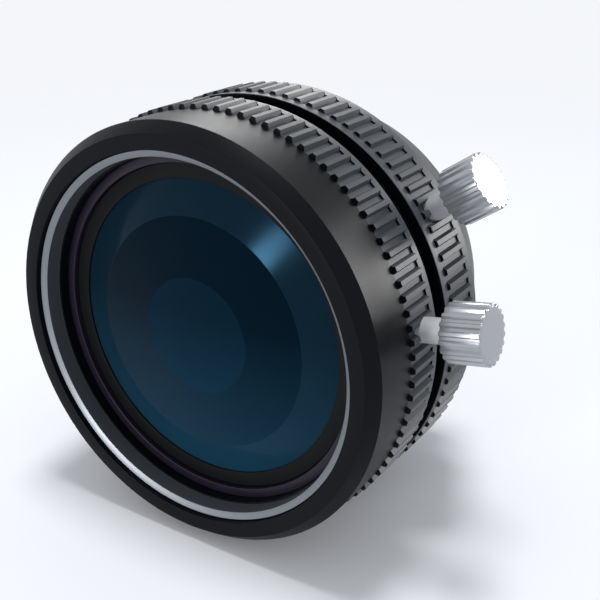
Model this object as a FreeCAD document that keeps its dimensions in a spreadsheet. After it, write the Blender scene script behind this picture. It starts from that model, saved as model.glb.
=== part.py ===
import FreeCAD, Part
import math
import os
import Sketcher

# C-mount lens with a focus ring, an iris ring and a locking thumb screw on each.
# Lengths are millimetres and angles are degrees. The optical axis is Y, the front
# looks along -Y and the camera side along +Y. The origin is the centre of the
# flange face. An azimuth turns from +X towards +Z.

SIZES = {
    # Camera mount: flange face at station 0 and the male thread behind it
    "thread_radius": 12.7,
    "thread_length": 4.0,
    "thread_lead": 0.4,
    "relief_cut": 0.55,
    "relief_width": 0.35,
    "relief_depth": 0.1,
    "flange_step": 0.2,
    "flange_width": 1.96,
    "flange_lip": 0.45,
    "hub_step": 0.9,
    "hub_length": 2.95,
    "mount_wall": 1.3,
    # Rear housing: a cone from the iris ring down to the flange
    "housing_length": 6.9,
    "housing_wall": 2.0,
    "housing_overhang": 0.2,
    "spigot_step": 0.47,
    "spigot_length": 2.45,
    "tail_clearance": 0.3,
    "set_screw_count": 3,
    "set_screw_radius": 0.8,
    "set_screw_length": 1.6,
    "set_screw_station": 1.9,
    "set_screw_azimuth": 90.0,
    "socket_width": 0.7,
    "socket_depth": 0.7,
    # Main barrel: the fixed tube that carries both rings
    "barrel_step": 3.45,
    "barrel_wall": 1.1,
    "clip_groove_depth": 0.3,
    # Iris ring
    "iris_back_gap": 0.1,
    "iris_ring_length": 5.55,
    "iris_ring_wall": 1.68,
    "iris_gap_depth": 0.14,
    "iris_tooth_rise": 0.26,
    "iris_front_band": 0.85,
    "iris_back_band": 1.0,
    "iris_tooth_count": 96,
    "iris_tooth_azimuth": 0.38,
    "iris_turn": 60.0,
    "clip_stand": 0.8,
    "clip_room": 0.1,
    "clip_thickness": 0.4,
    "clip_opening": 14.0,
    "clip_azimuth": 90.0,
    "counterbore_depth": 0.55,
    # Focus ring
    "ring_gap": 1.6,
    "focus_ring_length": 9.56,
    "focus_ring_wall": 1.6,
    "focus_gap_depth": 0.16,
    "focus_tooth_rise": 0.25,
    "focus_barrel_step": 0.1,
    "focus_chamfer_width": 0.84,
    "focus_chamfer_length": 1.0,
    "focus_tooth_zone": 3.4,
    "focus_back_band": 0.75,
    "focus_tooth_count": 99,
    "focus_tooth_azimuth": 1.43,
    "focus_turn": 110.0,
    "focus_travel": 1.2,
    "rib_clearance": 0.25,
    "rib_length": 0.5,
    "retainer_clearance": 0.3,
    "retainer_length": 0.45,
    # Tooth form of both rings, as shares of the pitch
    "tooth_base_share": 0.63,
    "tooth_top_share": 0.32,
    "tooth_root": 0.3,
    # Thumb screws
    "screw_head_radius": 2.32,
    "screw_head_length": 3.2,
    "screw_neck": 2.01,
    "screw_shank_radius": 1.0,
    "screw_point_radius": 0.6,
    "screw_point_length": 0.5,
    "flute_count": 20,
    "flute_radius": 0.22,
    "flute_stand": 0.08,
    "focus_screw_azimuth": 9.8,
    "focus_screw_inset": 2.2,
    "iris_screw_azimuth": 34.35,
    "iris_screw_inset": 2.75,
    # Inner barrel: slides in the main barrel and holds all the glass
    "front_recess": 0.41,
    "head_step": 0.55,
    "bevel_depth": 0.25,
    "filter_wall": 0.57,
    "filter_thread_length": 1.4,
    "front_seat_step": 0.16,
    "front_seat_depth": 0.85,
    "head_web": 0.5,
    "web_thickness": 0.5,
    "cavity_wall": 1.75,
    "tail_wall": 1.25,
    "tail_rim": 0.3,
    # Rings that hold the front glass
    "front_ring_thickness": 0.6,
    "front_ring_width": 0.76,
    "bezel_flange": 0.4,
    "bezel_stand": 0.18,
    "bezel_width": 1.82,
    "bezel_clearance": 0.06,
    # Front group of glass
    "front_glass_edge": 2.3,
    "front_shoulder": 0.3,
    "outer_zone_width": 2.79,
    "middle_zone_width": 4.96,
    "outer_zone_rise": 0.9,
    "middle_zone_rise": 1.32,
    "front_apex_rise": 1.38,
    "front_rim": 1.4,
    "front_hollow_depth": 1.2,
    "front_spacer_length": 1.2,
    "middle_glass_step": 2.5,
    "middle_rim": 1.2,
    "second_glass_edge": 1.5,
    "second_front_rise": 1.0,
    "second_back_hollow": 0.9,
    "middle_spacer_length": 0.6,
    "third_glass_edge": 1.7,
    "third_front_rise": 0.6,
    "third_back_rise": 0.25,
    # Iris diaphragm
    "base_plate_thickness": 0.8,
    "base_lip": 0.25,
    "blade_count": 6,
    "blade_thickness": 0.09,
    "blade_pitch": 0.13,
    "blade_clearance": 0.08,
    "blade_inset": 0.7,
    "blade_width": 4.05,
    "blade_heel_stand": 0.75,
    "blade_heel_angle": 4.5,
    "blade_tip_angle": 103.0,
    "blade_turn": 28.0,
    "pivot_inset": 1.35,
    "pivot_azimuth": 15.0,
    "pivot_pin_radius": 0.35,
    "pivot_pin_depth": 0.5,
    "cam_pin_angle": 20.0,
    "cam_pin_radius": 0.25,
    "cam_plate_thickness": 0.8,
    "cam_setback": 0.45,
    "cam_skirt_wall": 0.8,
    "cam_play": 0.1,
    # Drive pin from the iris ring to the cam ring
    "drive_azimuth": 200.0,
    "drive_inset": 1.6,
    "drive_pin_radius": 0.6,
    "drive_pin_gap": 0.15,
    "drive_pin_grip": 1.0,
    # Guide keys and focus stop
    "key_azimuth": 60.0,
    "key_inset": 0.7,
    "key_length": 1.9,
    "key_width": 1.5,
    "key_depth": 0.85,
    "key_recess": 0.15,
    "stop_azimuth": 300.0,
    "stop_inset": 1.2,
    "stop_pin_radius": 0.5,
    "stop_pin_gap": 0.15,
    "stop_pin_stand": 0.55,
    # Rear cell and its glass
    "rear_flange_thickness": 1.5,
    "rear_ring_thickness": 1.0,
    "rear_ring_clearance": 0.3,
    "rear_tube_clearance": 0.5,
    "rear_wall": 1.88,
    "rear_glass_rim": 1.2,
    "rear_lip": 0.9,
    "fourth_glass_edge": 1.5,
    "fourth_front_hollow": 0.35,
    "fourth_back_hollow": 0.45,
    "fifth_glass_edge": 1.0,
    "fifth_back_rise": 0.9,
    "rear_spacer_length": 2.77,
    "rear_glass_edge": 2.2,
    "rear_front_rise": 0.4,
    "rear_back_rise": 0.5,
    "rear_retainer_length": 1.0,
    "rear_rim": 0.8,
    # Fits and small edges
    "running_fit": 0.05,
    "seat_fit": 0.02,
    "seat_ledge": 0.1,
    "end_play": 0.05,
    "stop_margin": 0.1,
    "edge_break": 0.08,
}


class Size:
    """A number together with the sheet formula that gives it."""

    def __init__(self, value, formula):
        self.value = float(value)
        self.formula = formula

    def __neg__(self):
        return Size(-self.value, f"(0 - {self.formula})")

    def __add__(self, other):
        other = as_size(other)
        return Size(self.value + other.value, f"({self.formula} + {other.formula})")

    def __sub__(self, other):
        other = as_size(other)
        return Size(self.value - other.value, f"({self.formula} - {other.formula})")

    def __mul__(self, other):
        other = as_size(other)
        return Size(self.value * other.value, f"({self.formula} * {other.formula})")

    def __truediv__(self, other):
        other = as_size(other)
        return Size(self.value / other.value, f"({self.formula} / {other.formula})")


def as_size(number):
    if isinstance(number, Size):
        return number
    return Size(number, f"({float(number)!r})")


doc = FreeCAD.newDocument("c_mount_lens")
sheet = doc.addObject("Spreadsheet::Sheet", "Sizes")
for row, (alias, number) in enumerate(SIZES.items(), start=1):
    sheet.set(f"A{row}", alias)
    sheet.set(f"B{row}", str(number))
    sheet.setAlias(f"B{row}", alias)
doc.recompute()


def size(alias):
    return Size(SIZES[alias], f"Sizes.{alias}")


# Stations along the optical axis, worked out from the flange face forwards
origin = Size(0.0, "0")
lip_front = -size("flange_lip")
hub_front = lip_front - size("hub_length")
housing_front = -size("housing_length")
barrel_back = housing_front + size("spigot_length")
iris_back = housing_front - size("iris_back_gap")
iris_front = iris_back - size("iris_ring_length")
focus_back = iris_front - size("ring_gap")
focus_front = focus_back - size("focus_ring_length")

# Stations of the sliding unit, from its front edge backwards
head_front = focus_front + size("front_recess")
filter_front = head_front + size("bevel_depth")
filter_back = filter_front + size("filter_thread_length")
front_ring_front = filter_back + size("front_seat_depth")
glass_shoulder = front_ring_front + size("front_ring_thickness")
bezel_seat = glass_shoulder + size("bezel_flange")
head_back = bezel_seat + size("head_web")
rib_front = head_back + size("end_play")
rib_back = rib_front + size("rib_length")
retainer_front = rib_back + size("end_play")
retainer_back = retainer_front + size("retainer_length")
barrel_front = retainer_back + size("focus_travel") + size("stop_margin")

front_glass_back = glass_shoulder + size("front_glass_edge")
middle_seat = front_glass_back + size("front_spacer_length")
second_glass_back = middle_seat + size("second_glass_edge")
third_glass_front = second_glass_back + size("middle_spacer_length")
third_glass_back = third_glass_front + size("third_glass_edge")
base_plate_front = third_glass_back + size("web_thickness")
base_plate_back = base_plate_front + size("base_plate_thickness")
blade_start = base_plate_back + size("blade_clearance")
cam_front = blade_start + size("blade_pitch") * size("blade_count") + size("blade_clearance")
cam_plate_back = cam_front + size("cam_plate_thickness")

drive_station = iris_back - size("drive_inset")
cam_back = drive_station + size("drive_pin_radius") + size("stop_margin")
rear_cell_front = cam_back + size("cam_play")
rear_flange_back = rear_cell_front + size("rear_flange_thickness")
rear_ring_back = rear_flange_back + size("rear_ring_thickness")
slider_back = rear_ring_back + size("tail_rim")

fourth_glass_front = rear_cell_front + size("rear_lip")
fourth_glass_back = fourth_glass_front + size("fourth_glass_edge")
fifth_glass_front = fourth_glass_back + size("seat_fit")
fifth_glass_back = fifth_glass_front + size("fifth_glass_edge")
rear_glass_front = fifth_glass_back + size("rear_spacer_length")
rear_glass_back = rear_glass_front + size("rear_glass_edge")
rear_retainer_back = rear_glass_back + size("rear_retainer_length")
rear_cell_back = rear_retainer_back + size("rear_rim")

# Radii of the camera mount and the rear cell, worked out from the thread inwards and outwards
thread_radius = size("thread_radius")
relief_radius = thread_radius - size("relief_cut")
flange_radius = thread_radius + size("flange_width")
hub_radius = thread_radius + size("hub_step")
mount_bore = thread_radius - size("mount_wall")
rear_tube_radius = mount_bore - size("rear_tube_clearance")
rear_bore = rear_tube_radius - size("rear_wall")
rear_glass_radius = rear_bore - size("seat_fit")
rear_clear_radius = rear_glass_radius - size("rear_glass_rim")
rear_opening = rear_clear_radius + size("seat_ledge")
rear_ring_bore = rear_tube_radius + size("rear_ring_clearance")

# Radii of the tubes: the main barrel stands outside the thread and carries the others
barrel_radius = thread_radius + size("barrel_step")
barrel_bore = barrel_radius - size("barrel_wall")
slider_radius = barrel_bore - size("running_fit")
ring_bore = barrel_radius + size("running_fit")
spigot_radius = barrel_radius - size("spigot_step")
spigot_bore = spigot_radius + size("seat_fit")
housing_front_radius = spigot_bore + size("housing_wall")
housing_back_radius = flange_radius + size("housing_overhang")
tail_room_radius = slider_radius + size("tail_clearance")
clip_groove_radius = barrel_radius - size("clip_groove_depth")
clip_inner_radius = clip_groove_radius + size("end_play")
clip_outer_radius = barrel_radius + size("clip_stand")
counterbore_radius = clip_outer_radius + size("clip_room")
iris_band_radius = ring_bore + size("iris_ring_wall")
focus_band_radius = ring_bore + size("focus_ring_wall")
focus_barrel_radius = focus_band_radius - size("focus_barrel_step")
focus_face_radius = focus_barrel_radius - size("focus_chamfer_width")
rib_radius = slider_radius + size("rib_clearance")
retainer_radius = ring_bore - size("retainer_clearance")

# Radii of the inner barrel, its rings and the front glass
head_radius = slider_radius + size("head_step")
focus_bore = head_radius + size("running_fit")
filter_radius = head_radius - size("filter_wall")
front_seat_radius = filter_radius - size("front_seat_step")
front_ring_radius = front_seat_radius - size("seat_fit")
front_ring_bore = front_ring_radius - size("front_ring_width")
front_glass_radius = front_seat_radius - size("bezel_width")
front_bore = front_glass_radius + size("seat_fit")
outer_zone_radius = front_glass_radius - size("front_shoulder")
middle_zone_radius = outer_zone_radius - size("outer_zone_width")
inner_zone_radius = middle_zone_radius - size("middle_zone_width")
middle_glass_radius = front_glass_radius - size("middle_glass_step")
middle_bore = middle_glass_radius + size("seat_fit")
middle_clear_radius = middle_glass_radius - size("middle_rim")
middle_opening = middle_clear_radius + size("seat_ledge")

# Radii of the iris diaphragm
cavity_radius = slider_radius - size("cavity_wall")
rear_seat_radius = slider_radius - size("tail_wall")
pivot_radius = cavity_radius - size("pivot_inset")
blade_outer_radius = pivot_radius - size("blade_inset")
blade_inner_radius = blade_outer_radius - size("blade_width")
blade_heel_radius = pivot_radius + size("blade_heel_stand")
base_aperture_radius = blade_inner_radius - size("base_lip")
cam_outer_radius = cavity_radius - size("running_fit")
cam_inner_radius = blade_inner_radius + size("cam_setback")
cam_skirt_radius = cam_outer_radius - size("cam_skirt_wall")

# Inner and outer ends of the pieces that cross from one tube to another
drive_pin_inner = cam_skirt_radius + size("drive_pin_gap")
drive_pin_outer = ring_bore + size("drive_pin_grip")
stop_pin_inner = barrel_bore + size("stop_pin_gap")
stop_pin_outer = ring_bore + size("stop_pin_stand")
key_inner = slider_radius - size("key_depth")
key_outer = barrel_radius - size("key_recess")
screw_tip = barrel_radius + size("end_play")
screw_head_start = iris_band_radius + size("iris_tooth_rise") + size("screw_neck")
screw_reach = screw_head_start + size("screw_head_length")

# Stations of the pieces that cross from one tube to another
focus_screw_station = focus_back - size("focus_screw_inset")
iris_screw_station = iris_back - size("iris_screw_inset")
stop_station = focus_back - size("stop_inset")
key_front = barrel_front + size("key_inset")
key_back = key_front + size("key_length")

pieces = {}


def keep(name, item):
    """Files a finished sub-part under its node name."""
    item.Label = name
    pieces[name] = item
    return item


def origin_feature(body, role):
    return next(item for item in body.Origin.OriginFeatures if item.Role == role)


def attach(body, sketch, role):
    sketch.AttachmentSupport = [(origin_feature(body, role), "")]
    sketch.MapMode = "FlatFace"


def bind_vertex(sketch, edge, end, x, y):
    """Ties one vertex of a sketch to two sizes, or to the vertical axis where x is 0."""
    if x.value == 0:
        sketch.addConstraint(Sketcher.Constraint("PointOnObject", edge, end, -2))
    else:
        index = sketch.addConstraint(Sketcher.Constraint("DistanceX", -1, 1, edge, end, x.value))
        sketch.setExpression(f"Constraints[{index}]", x.formula)
    index = sketch.addConstraint(Sketcher.Constraint("DistanceY", -1, 1, edge, end, y.value))
    sketch.setExpression(f"Constraints[{index}]", y.formula)


def dome_arc(first, second):
    """The arc through two points whose centre lies on the vertical axis."""
    (x1, y1), (x2, y2) = first, second
    centre = (x1 * x1 - x2 * x2 + y1 * y1 - y2 * y2) / (2 * (y1 - y2))
    circle = Part.Circle(FreeCAD.Vector(0, centre, 0), FreeCAD.Vector(0, 0, 1), math.hypot(x1, y1 - centre))
    angles = [math.atan2(y1 - centre, x1), math.atan2(y2 - centre, x2)]
    forwards = angles[0] < angles[1]
    return Part.ArcOfCircle(circle, min(angles), max(angles)), forwards


def draw_outline(sketch, outline, domes=()):
    """Draws a closed outline of (x, y) sizes and ties each corner to the sheet.

    The sides numbered in domes are arcs centred on the vertical axis.
    """
    outline = [(as_size(x), as_size(y)) for x, y in outline]
    count = len(outline)
    starts = []
    ends = []
    for side in range(count):
        first = (outline[side][0].value, outline[side][1].value)
        second = (outline[(side + 1) % count][0].value, outline[(side + 1) % count][1].value)
        forwards = True
        if side in domes:
            edge, forwards = dome_arc(first, second)
        else:
            edge = Part.LineSegment(FreeCAD.Vector(*first, 0), FreeCAD.Vector(*second, 0))
        sketch.addGeometry(edge, False)
        starts.append(1 if forwards else 2)
        ends.append(2 if forwards else 1)
        if side in domes:
            sketch.addConstraint(Sketcher.Constraint("PointOnObject", side, 3, -2))
    for side in range(count):
        after = (side + 1) % count
        sketch.addConstraint(Sketcher.Constraint("Coincident", side, ends[side], after, starts[after]))
        bind_vertex(sketch, side, starts[side], *outline[side])


def turned(name, outline, domes=()):
    """A turned body: its (radius, station) outline revolved about the optical axis."""
    body = doc.addObject("PartDesign::Body", name)
    sketch = body.newObject("Sketcher::SketchObject", f"{name}_outline")
    attach(body, sketch, "XY_Plane")
    draw_outline(sketch, outline, domes)
    revolution = body.newObject("PartDesign::Revolution", f"{name}_turned")
    revolution.Profile = sketch
    revolution.ReferenceAxis = (sketch, ["V_Axis"])
    revolution.Angle = 360
    doc.recompute()
    return body


def ring(name, outer, inner, front, back):
    """A plain turned ring."""
    return turned(name, [(inner, front), (outer, front), (outer, back), (inner, back)])


def lens(name, radius, clear, front, back, front_rise, back_rise):
    """A glass element with a flat rim round its curved faces; a negative rise is hollow."""
    outline = [
        (0, front - front_rise), (clear, front), (radius, front), (radius, back), (clear, back),
        (0, back + back_rise)]
    return keep(name, turned(name, outline, domes=(0, 4)))


def polar_copies(body, feature, count):
    """Repeats a feature round the body's own turning axis."""
    pattern = body.newObject("PartDesign::PolarPattern", f"{feature.Name}_round")
    pattern.Originals = [feature]
    pattern.Axis = (origin_feature(body, "Y_Axis"), [""])
    pattern.Angle = 360
    pattern.setExpression("Occurrences", count.formula)
    body.Tip = pattern
    doc.recompute()


def cross_sketch(body, name, station, azimuth=0.0):
    """A sketch square to the turning axis; its x axis points along the azimuth."""
    sketch = body.newObject("Sketcher::SketchObject", name)
    attach(body, sketch, "XZ_Plane")
    turn = FreeCAD.Rotation(FreeCAD.Vector(0, 0, 1), azimuth)
    sketch.AttachmentOffset = FreeCAD.Placement(FreeCAD.Vector(0, 0, -station.value), turn)
    sketch.setExpression("AttachmentOffset.Base.z", (-station).formula)
    return sketch


def add_teeth(body, prefix, band, front, back):
    """Adds the grip ribs of a ring: trapezoids that stand on the floor of the knurl."""
    count = size(f"{prefix}_tooth_count")
    floor = band - size(f"{prefix}_gap_depth")
    top = band + size(f"{prefix}_tooth_rise")
    half_base = floor * size("tooth_base_share") * math.pi / count
    half_top = top * size("tooth_top_share") * math.pi / count
    root = floor - size("tooth_root")
    azimuth = size(f"{prefix}_tooth_azimuth").value
    sketch = cross_sketch(body, f"{prefix}_tooth_outline", back, azimuth)
    corners = [(root, -half_base), (floor, -half_base), (top, -half_top), (top, half_top), (floor, half_base),
               (root, half_base)]
    draw_outline(sketch, corners)
    pad = body.newObject("PartDesign::Pad", f"{prefix}_tooth")
    pad.Profile = sketch
    pad.Length = (back - front).value
    pad.setExpression("Length", (back - front).formula)
    doc.recompute()
    polar_copies(body, pad, count)


def direction(azimuth):
    angle = math.radians(azimuth)
    return FreeCAD.Vector(math.cos(angle), 0, math.sin(angle))


def radial_placement(station, azimuth, reach=0.0):
    """Puts an object's own Z axis along the azimuth, from the given reach outwards."""
    outwards = direction(azimuth)
    base = outwards * reach + FreeCAD.Vector(0, station, 0)
    along = FreeCAD.Rotation(FreeCAD.Vector(0, 1, 0), -azimuth)
    upright = FreeCAD.Rotation(FreeCAD.Vector(0, 1, 0), 90)
    return FreeCAD.Placement(base, along * upright)


def radial_rod(name, radius, inner, outer, station, azimuth):
    """A round rod that points straight out from the optical axis."""
    rod = doc.addObject("Part::Cylinder", name)
    rod.setExpression("Radius", radius.formula)
    rod.setExpression("Height", (outer - inner).formula)
    rod.Placement = radial_placement(station.value, azimuth, inner.value)
    return rod


def radial_block(name, width, inner, outer, front, back, azimuth):
    """A block that points straight out from the optical axis."""
    block = doc.addObject("Part::Box", name)
    block.setExpression("Height", (outer - inner).formula)
    block.setExpression("Length", width.formula)
    block.setExpression("Width", (back - front).formula)
    place = radial_placement(front.value, azimuth, inner.value)
    sideways = FreeCAD.Placement(FreeCAD.Vector(-width.value / 2, 0, 0), FreeCAD.Rotation())
    block.Placement = place * sideways
    return block


def sector_shape(inner, outer, front, back, start, sweep):
    """Part of a ring, from the start azimuth onwards through the sweep."""
    profile = Part.makePolygon([
        FreeCAD.Vector(inner, front, 0), FreeCAD.Vector(outer, front, 0),
        FreeCAD.Vector(outer, back, 0), FreeCAD.Vector(inner, back, 0), FreeCAD.Vector(inner, front, 0)])
    axis = FreeCAD.Vector(0, 1, 0)
    shape = Part.Face(profile).revolve(FreeCAD.Vector(), axis, -sweep)
    shape.rotate(FreeCAD.Vector(), axis, -start)
    return shape


def sector(name, inner, outer, front, back, start, sweep):
    item = doc.addObject("Part::Feature", name)
    item.Shape = sector_shape(inner.value, outer.value, front.value, back.value, start, sweep)
    return item


def cut(name, blank, tools):
    """Cuts the tools out of the blank, which keeps its own name with _blank behind it."""
    blank.Label = f"{name}_blank"
    group = doc.addObject("Part::Compound", f"{name}_tools")
    group.Links = tools
    result = doc.addObject("Part::Cut", name)
    result.Base = blank
    result.Tool = group
    return keep(name, result)


def group(name, members):
    """Separate solids that share one node."""
    for number, member in enumerate(members, start=1):
        member.Label = f"{name}_{number}"
    result = doc.addObject("Part::Compound", name)
    result.Links = members
    return keep(name, result)


def half_angle(half_width, radius):
    """The angle that half a width takes up at a radius."""
    return math.degrees(math.asin(half_width.value / radius.value))


# Fixed body

def build_mount_ring():
    end = size("thread_length")
    lead = size("thread_lead")
    rim = size("edge_break")
    face = thread_radius + size("flange_step")
    groove_front = -size("relief_depth")
    groove_back = size("relief_width")
    outline = [
        (mount_bore, hub_front), (hub_radius, hub_front), (hub_radius, lip_front),
        (flange_radius, lip_front), (flange_radius, -rim), (flange_radius - rim, 0), (face, 0),
        (face, groove_front), (relief_radius, groove_front), (relief_radius, groove_back),
        (thread_radius, groove_back), (thread_radius, end - lead), (thread_radius - lead, end),
        (mount_bore, end)]
    keep("mount_ring", turned("mount_ring", outline))


def set_screw_azimuths():
    count = int(SIZES["set_screw_count"])
    return [SIZES["set_screw_azimuth"] + 360.0 * number / count for number in range(count)]


def build_rear_housing():
    spigot_end = barrel_back + size("end_play")
    hub_bore = hub_radius + size("seat_fit")
    outline = [
        (spigot_bore, housing_front), (housing_front_radius, housing_front),
        (housing_back_radius, lip_front), (hub_bore, lip_front), (hub_bore, hub_front),
        (tail_room_radius, hub_front), (tail_room_radius, spigot_end), (spigot_bore, spigot_end)]
    blank = turned("rear_housing_blank", outline)
    station = -size("set_screw_station")
    radius = size("set_screw_radius") + size("seat_fit")
    holes = [
        radial_rod(f"set_screw_hole_{number}", radius, mount_bore, housing_front_radius, station, azimuth)
        for number, azimuth in enumerate(set_screw_azimuths(), start=1)]
    return cut("rear_housing", blank, holes)


def build_set_screws():
    """Grub screws with a hexagon socket that lock the mount ring in the housing."""
    station = -size("set_screw_station")
    seat = hub_radius + size("seat_fit")
    top = seat + size("set_screw_length")
    screws = []
    for number, azimuth in enumerate(set_screw_azimuths(), start=1):
        rod = radial_rod(f"set_screw_rod_{number}", size("set_screw_radius"), seat, top, station, azimuth)
        socket = doc.addObject("Part::Prism", f"set_screw_socket_{number}")
        socket.Polygon = 6
        socket.setExpression("Circumradius", (size("socket_width") / math.sqrt(3)).formula)
        socket.setExpression("Height", size("socket_depth").formula)
        reach = top - size("socket_depth")
        socket.Placement = radial_placement(station.value, azimuth, reach.value)
        screw = doc.addObject("Part::Cut", f"set_screw_{number}")
        screw.Base = rod
        screw.Tool = socket
        screws.append(screw)
    group("mount_set_screws", screws)


def key_azimuths():
    return [SIZES["key_azimuth"], SIZES["key_azimuth"] + 180.0]


def build_main_barrel():
    rim = size("edge_break")
    clip_front = iris_front + size("end_play")
    clip_back = clip_front + size("clip_thickness") + size("seat_fit")
    outline = [
        (barrel_bore, barrel_front), (barrel_radius - rim, barrel_front),
        (barrel_radius, barrel_front + rim), (barrel_radius, clip_front),
        (clip_groove_radius, clip_front), (clip_groove_radius, clip_back), (barrel_radius, clip_back),
        (barrel_radius, housing_front), (spigot_radius, housing_front), (spigot_radius, barrel_back),
        (barrel_bore, barrel_back)]
    blank = turned("main_barrel_blank", outline)
    inside = barrel_bore - size("stop_margin")
    outside = barrel_radius + size("stop_margin")
    pin_room = size("drive_pin_radius") + size("stop_margin")
    edge = half_angle(pin_room, barrel_bore)
    slot_half = size("drive_pin_radius") + size("running_fit")
    tools = [
        radial_block(f"key_window_{number}", size("key_width"), inside, outside, key_front, key_back, azimuth)
        for number, azimuth in enumerate(key_azimuths(), start=1)]
    tools.append(sector("drive_slot", inside, outside, drive_station - slot_half, drive_station + slot_half,
                        SIZES["drive_azimuth"] - edge, SIZES["iris_turn"] + 2 * edge))
    tools.append(radial_rod("stop_pin_hole", size("stop_pin_radius") + size("seat_fit"), inside, outside,
                            stop_station, SIZES["stop_azimuth"]))
    cut("main_barrel", blank, tools)


def build_iris_ring_clip():
    """An open spring ring in the main barrel's groove that holds the iris ring back."""
    front = iris_front + size("end_play") + size("seat_fit") / 2
    back = front + size("clip_thickness")
    start = SIZES["clip_azimuth"] + SIZES["clip_opening"] / 2
    sweep = 360.0 - SIZES["clip_opening"]
    clip = sector("iris_ring_clip", clip_inner_radius, clip_outer_radius, front, back, start, sweep)
    keep("iris_ring_clip", clip)


def build_guide_keys():
    width = size("key_width")
    keys = [
        radial_block(f"guide_key_{number}", width, key_inner, key_outer, key_front, key_back, azimuth)
        for number, azimuth in enumerate(key_azimuths(), start=1)]
    group("guide_keys", keys)


def build_focus_stop_pin():
    pin = radial_rod("focus_stop_pin", size("stop_pin_radius"), stop_pin_inner, stop_pin_outer,
                     stop_station, SIZES["stop_azimuth"])
    keep("focus_stop_pin", pin)


# Focus ring and iris ring

def screw_hole(name, station, azimuth):
    """The tapped hole of a thumb screw, drilled from the bore outwards through the teeth."""
    radius = size("screw_shank_radius") + size("running_fit")
    return radial_rod(name, radius, slider_radius, screw_head_start, station, azimuth)


def build_focus_ring():
    rim = size("edge_break")
    chamfer_back = focus_front + size("focus_chamfer_length")
    teeth_back = focus_back - size("focus_back_band")
    teeth_front = teeth_back - size("focus_tooth_zone")
    floor = focus_band_radius - size("focus_gap_depth")
    outline = [
        (focus_bore, focus_front), (focus_face_radius, focus_front), (focus_barrel_radius, chamfer_back),
        (focus_barrel_radius, teeth_front), (floor, teeth_front), (floor, teeth_back),
        (focus_band_radius, teeth_back), (focus_band_radius, focus_back - rim),
        (focus_band_radius - rim, focus_back), (ring_bore, focus_back), (ring_bore, rib_back),
        (rib_radius, rib_back), (rib_radius, rib_front), (focus_bore, rib_front)]
    blank = turned("focus_ring_blank", outline)
    add_teeth(blank, "focus", focus_band_radius, teeth_front, teeth_back)
    pin_room = size("stop_pin_radius") + size("stop_margin")
    edge = half_angle(pin_room, ring_bore)
    groove = sector("stop_groove", slider_radius, stop_pin_outer + size("stop_margin"),
                    stop_station - size("focus_travel") - pin_room, stop_station + pin_room,
                    SIZES["stop_azimuth"] - SIZES["focus_turn"] - edge, SIZES["focus_turn"] + 2 * edge)
    hole = screw_hole("focus_screw_hole", focus_screw_station, SIZES["focus_screw_azimuth"])
    cut("focus_ring", blank, [groove, hole])


def build_iris_ring():
    rim = size("edge_break")
    band = iris_band_radius
    floor = band - size("iris_gap_depth")
    counterbore_back = iris_front + size("counterbore_depth")
    teeth_front = iris_front + size("iris_front_band")
    teeth_back = iris_back - size("iris_back_band")
    outline = [
        (counterbore_radius, iris_front), (band - rim, iris_front), (band, iris_front + rim),
        (band, teeth_front), (floor, teeth_front), (floor, teeth_back), (band, teeth_back),
        (band, iris_back - rim), (band - rim, iris_back), (ring_bore, iris_back),
        (ring_bore, counterbore_back), (counterbore_radius, counterbore_back)]
    blank = turned("iris_ring_blank", outline)
    add_teeth(blank, "iris", band, teeth_front, teeth_back)
    hole = screw_hole("iris_screw_hole", iris_screw_station, SIZES["iris_screw_azimuth"])
    pin_hole = radial_rod("drive_pin_hole", size("drive_pin_radius") + size("seat_fit"), slider_radius,
                          drive_pin_outer, drive_station, SIZES["drive_azimuth"])
    cut("iris_ring", blank, [hole, pin_hole])


def build_iris_drive_pin():
    pin = radial_rod("iris_drive_pin", size("drive_pin_radius"), drive_pin_inner, drive_pin_outer,
                     drive_station, SIZES["drive_azimuth"])
    keep("iris_drive_pin", pin)


def build_thumb_screw(name, station, azimuth):
    """A fluted head on a plain shank, turned along its own axis and then stood on its ring."""
    shank = size("screw_shank_radius")
    point = size("screw_point_radius")
    head = size("screw_head_radius")
    neck = screw_tip + size("screw_point_length")
    rim = size("edge_break")
    outline = [
        (0, screw_tip), (point, screw_tip), (point, neck), (shank, neck), (shank, screw_head_start),
        (head - rim, screw_head_start), (head, screw_head_start + rim), (head, screw_reach - rim),
        (head - rim, screw_reach), (0, screw_reach)]
    body = turned(name, outline)
    sketch = cross_sketch(body, f"{name}_flute_outline", screw_head_start)
    centre = head + size("flute_stand")
    axis = FreeCAD.Vector(0, 0, 1)
    circle = Part.Circle(FreeCAD.Vector(centre.value, 0, 0), axis, SIZES["flute_radius"])
    sketch.addGeometry(circle, False)
    bind_vertex(sketch, 0, 3, centre, origin)
    index = sketch.addConstraint(Sketcher.Constraint("Radius", 0, SIZES["flute_radius"]))
    sketch.setExpression(f"Constraints[{index}]", size("flute_radius").formula)
    flute = body.newObject("PartDesign::Pocket", f"{name}_flute")
    flute.Profile = sketch
    flute.Length = SIZES["screw_head_length"]
    flute.setExpression("Length", size("screw_head_length").formula)
    doc.recompute()
    polar_copies(body, flute, size("flute_count"))
    stand = FreeCAD.Rotation(FreeCAD.Vector(0, 1, 0), direction(azimuth))
    body.Placement = FreeCAD.Placement(FreeCAD.Vector(0, station.value, 0), stand)
    keep(name, body)


# Sliding unit

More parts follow.
